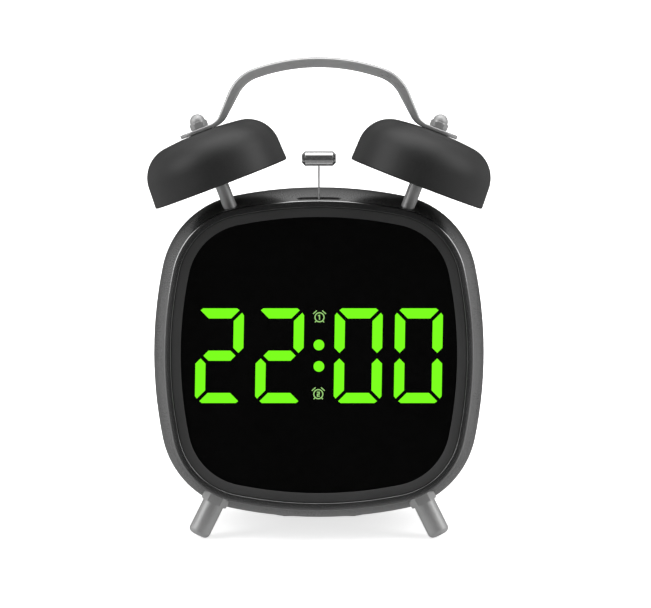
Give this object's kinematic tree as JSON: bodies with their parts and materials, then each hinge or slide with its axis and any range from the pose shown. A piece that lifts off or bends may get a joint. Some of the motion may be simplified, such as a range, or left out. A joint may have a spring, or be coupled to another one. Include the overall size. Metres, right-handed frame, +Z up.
{
  "type": "alarm clock",
  "caption": "Twin-bell alarm clock with a rounded-square case, a lit digital face, tilted bells, a swinging wire hammer, a carry handle and two splayed feet.",
  "frame": {"origin": "on the table plane, under the middle of the clock's outline", "axes": "+X to the right as the face is read, +Y towards the back, +Z up; the face looks along -Y and leans back"},
  "size_m": [0.1252, 0.0742, 0.1731],
  "materials": {
    "gunmetal_paint": "satin gunmetal paint",
    "bezel_paint": "satin gunmetal paint, darker than the case",
    "dark_ring": "fine matt black",
    "black_lens": "polished black acrylic",
    "green_led": "lit lime green",
    "pale_green_led": "lit pale green",
    "black_plastic": "moulded",
    "circuit_board": "solder mask over glass laminate",
    "chip_plastic": "moulded",
    "back_plastic": "fine spark texture",
    "bell_paint": "charcoal powder coat",
    "satin_steel": "satin nickel plate",
    "handle_steel": "satin nickel plate",
    "polished_chrome": "mirror polish",
    "spring_wire": "drawn spring steel",
    "zinc_steel": "bright zinc plate",
    "iron": "bare soft iron",
    "copper_winding": "enamelled copper winding",
    "button_plastic": "light grey satin",
    "soft_rubber": "matt moulded rubber",
    "cell_sleeve": "printed cell sleeve"
  },
  "bodies": {
    "case": {"front_bezel": "bezel_paint", "inner_bezel_ring": "dark_ring", "display_lens": "black_lens", "lit_segments": "green_led", "alarm_icons": "pale_green_led", "led_housing": "black_plastic", "display_board": "circuit_board", "display_chips": "chip_plastic", "case_body": "gunmetal_paint", "back_cover": "back_plastic", "left_bell": "bell_paint", "right_bell": "bell_paint", "left_bell_post": "satin_steel", "right_bell_post": "satin_steel", "bell_washers": "soft_rubber", "post_lock_nuts": "zinc_steel", "dome_nuts": "satin_steel", "carry_handle": "handle_steel", "striker_bracket": "zinc_steel", "striker_core": "iron", "striker_coil": "copper_winding", "hammer_spring": "spring_wire", "bracket_screws": "zinc_steel", "left_foot": "satin_steel", "right_foot": "satin_steel", "foot_lock_nuts": "zinc_steel", "rear_pad": "soft_rubber", "switch_body": "zinc_steel", "button_board": "circuit_board", "tact_switches": "chip_plastic", "power_inlet": "zinc_steel", "batteries": "cell_sleeve", "battery_contacts": "zinc_steel", "display_screws": "zinc_steel", "button_board_screws": "zinc_steel", "cover_screws": "zinc_steel"},
    "hammer": {"hammer_head": "polished_chrome", "hammer_wire": "spring_wire", "hammer_lever": "zinc_steel"},
    "battery_door": {"battery_door": "back_plastic"},
    "time_button": {"time_button": "button_plastic"},
    "first_alarm_button": {"first_alarm_button": "button_plastic"},
    "second_alarm_button": {"second_alarm_button": "button_plastic"},
    "up_button": {"up_button": "button_plastic"},
    "down_button": {"down_button": "button_plastic"},
    "snooze_button": {"snooze_button": "button_plastic"},
    "alarm_switch": {"alarm_switch": "button_plastic"}
  },
  "joints": [
    {"name": "hammer_swing", "type": "hinge", "parent": "case", "child": "hammer", "pos_m": [0, -0.00931, 0.10279], "axis": [0, 0.9795, -0.2017], "range_deg": [-8.4, 8.4], "stiffness_Nm_per_rad": 0.01},
    {"name": "battery_door_hinge", "type": "hinge", "parent": "case", "child": "battery_door", "pos_m": [0, 0.01678, 0.01529], "axis": [-1, 0, 0], "range_deg": [0, 90]},
    {"name": "time_button_press", "type": "slide", "parent": "case", "child": "time_button", "axis": [0, -0.9795, 0.2017], "range_m": [0, 0.0008], "stiffness_N_per_m": 400},
    {"name": "first_alarm_button_press", "type": "slide", "parent": "case", "child": "first_alarm_button", "axis": [0, -0.9795, 0.2017], "range_m": [0, 0.0008], "stiffness_N_per_m": 400},
    {"name": "second_alarm_button_press", "type": "slide", "parent": "case", "child": "second_alarm_button", "axis": [0, -0.9795, 0.2017], "range_m": [0, 0.0008], "stiffness_N_per_m": 400},
    {"name": "up_button_press", "type": "slide", "parent": "case", "child": "up_button", "axis": [0, -0.9795, 0.2017], "range_m": [0, 0.0008], "stiffness_N_per_m": 400},
    {"name": "down_button_press", "type": "slide", "parent": "case", "child": "down_button", "axis": [0, -0.9795, 0.2017], "range_m": [0, 0.0008], "stiffness_N_per_m": 400},
    {"name": "snooze_button_press", "type": "slide", "parent": "case", "child": "snooze_button", "axis": [0, -0.9795, 0.2017], "range_m": [0, 0.0008], "stiffness_N_per_m": 400},
    {"name": "alarm_switch_slide", "type": "slide", "parent": "case", "child": "alarm_switch", "axis": [1, 0, 0], "range_m": [0, 0.004]}
  ]
}
